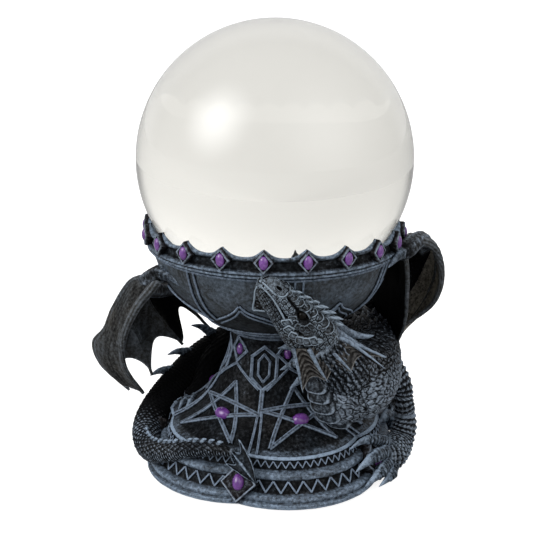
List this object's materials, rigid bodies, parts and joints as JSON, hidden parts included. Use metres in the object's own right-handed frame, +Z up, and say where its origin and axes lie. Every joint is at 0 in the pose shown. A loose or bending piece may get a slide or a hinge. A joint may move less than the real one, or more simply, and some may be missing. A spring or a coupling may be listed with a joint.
{
  "type": "crystal ball on a dragon stand",
  "caption": "Clear solid glass ball resting in a footed chalice stand with a dragon coiled round it; the ball lifts straight out of its seat.",
  "frame": {"origin": "centre of the flat underside of the base felt", "axes": "+Z up through the ball's centre, -Y towards the front, +X to the right seen from the front"},
  "size_m": [0.1482, 0.1136, 0.1824],
  "materials": {
    "crystal_glass": "polished, clear, solid",
    "stand_resin": "cast stone resin, near-black, dry-brushed blue-grey on its edges",
    "relief_resin": "cast stone resin, heavily dry-brushed blue-grey",
    "dragon_resin": "cast stone resin, black wash under a silver-blue dry brush",
    "wing_resin": "cast stone resin, warm brown-grey in the hollows",
    "cabochon": "glossy, faintly cloudy purple",
    "eye_paint": "gloss black",
    "felt": "black felt"
  },
  "bodies": {
    "stand": {"back_spines": "dragon_resin", "base_felt": "felt", "bell_straps": "relief_resin", "belly_scutes": "dragon_resin", "crest_spikes": "dragon_resin", "cup_bowl": "stand_resin", "cup_tracery": "relief_resin", "diamond_plates": "relief_resin", "dragon_eyes": "eye_paint", "dragon_horns": "dragon_resin", "dragon_jaw": "dragon_resin", "dragon_neck": "dragon_resin", "dragon_skull": "dragon_resin", "dragon_tail": "dragon_resin", "dragon_torso": "dragon_resin", "frill_membranes": "wing_resin", "frill_spines": "dragon_resin", "inner_fore_claws": "dragon_resin", "inner_foreleg": "dragon_resin", "inner_hind_claws": "dragon_resin", "inner_hind_leg": "dragon_resin", "left_wing_arm": "dragon_resin", "left_wing_fingers": "dragon_resin", "left_wing_membrane": "wing_resin", "lower_zigzag_band": "relief_resin", "neck_cabochons": "cabochon", "neck_kites": "relief_resin", "outer_fore_claws": "dragon_resin", "outer_foreleg": "dragon_resin", "outer_hind_claws": "dragon_resin", "outer_hind_leg": "dragon_resin", "pedestal_bell": "stand_resin", "pentagram_stars": "relief_resin", "plate_cabochons": "cabochon", "plinth": "stand_resin", "right_wing_arm": "dragon_resin", "right_wing_fingers": "dragon_resin", "right_wing_membrane": "wing_resin", "rim_cabochons": "cabochon", "rim_collar": "stand_resin", "rim_studs": "relief_resin", "shield_frames": "relief_resin", "star_cabochons": "cabochon", "tail_barb": "dragon_resin", "upper_zigzag_band": "relief_resin", "wing_thumbs": "dragon_resin"},
    "ball": {"crystal_ball": "crystal_glass"}
  },
  "joints": [
    {"name": "ball_lift", "type": "slide", "parent": "stand", "child": "ball", "axis": [0, 0, 1], "range_m": [0, 0.06]}
  ]
}
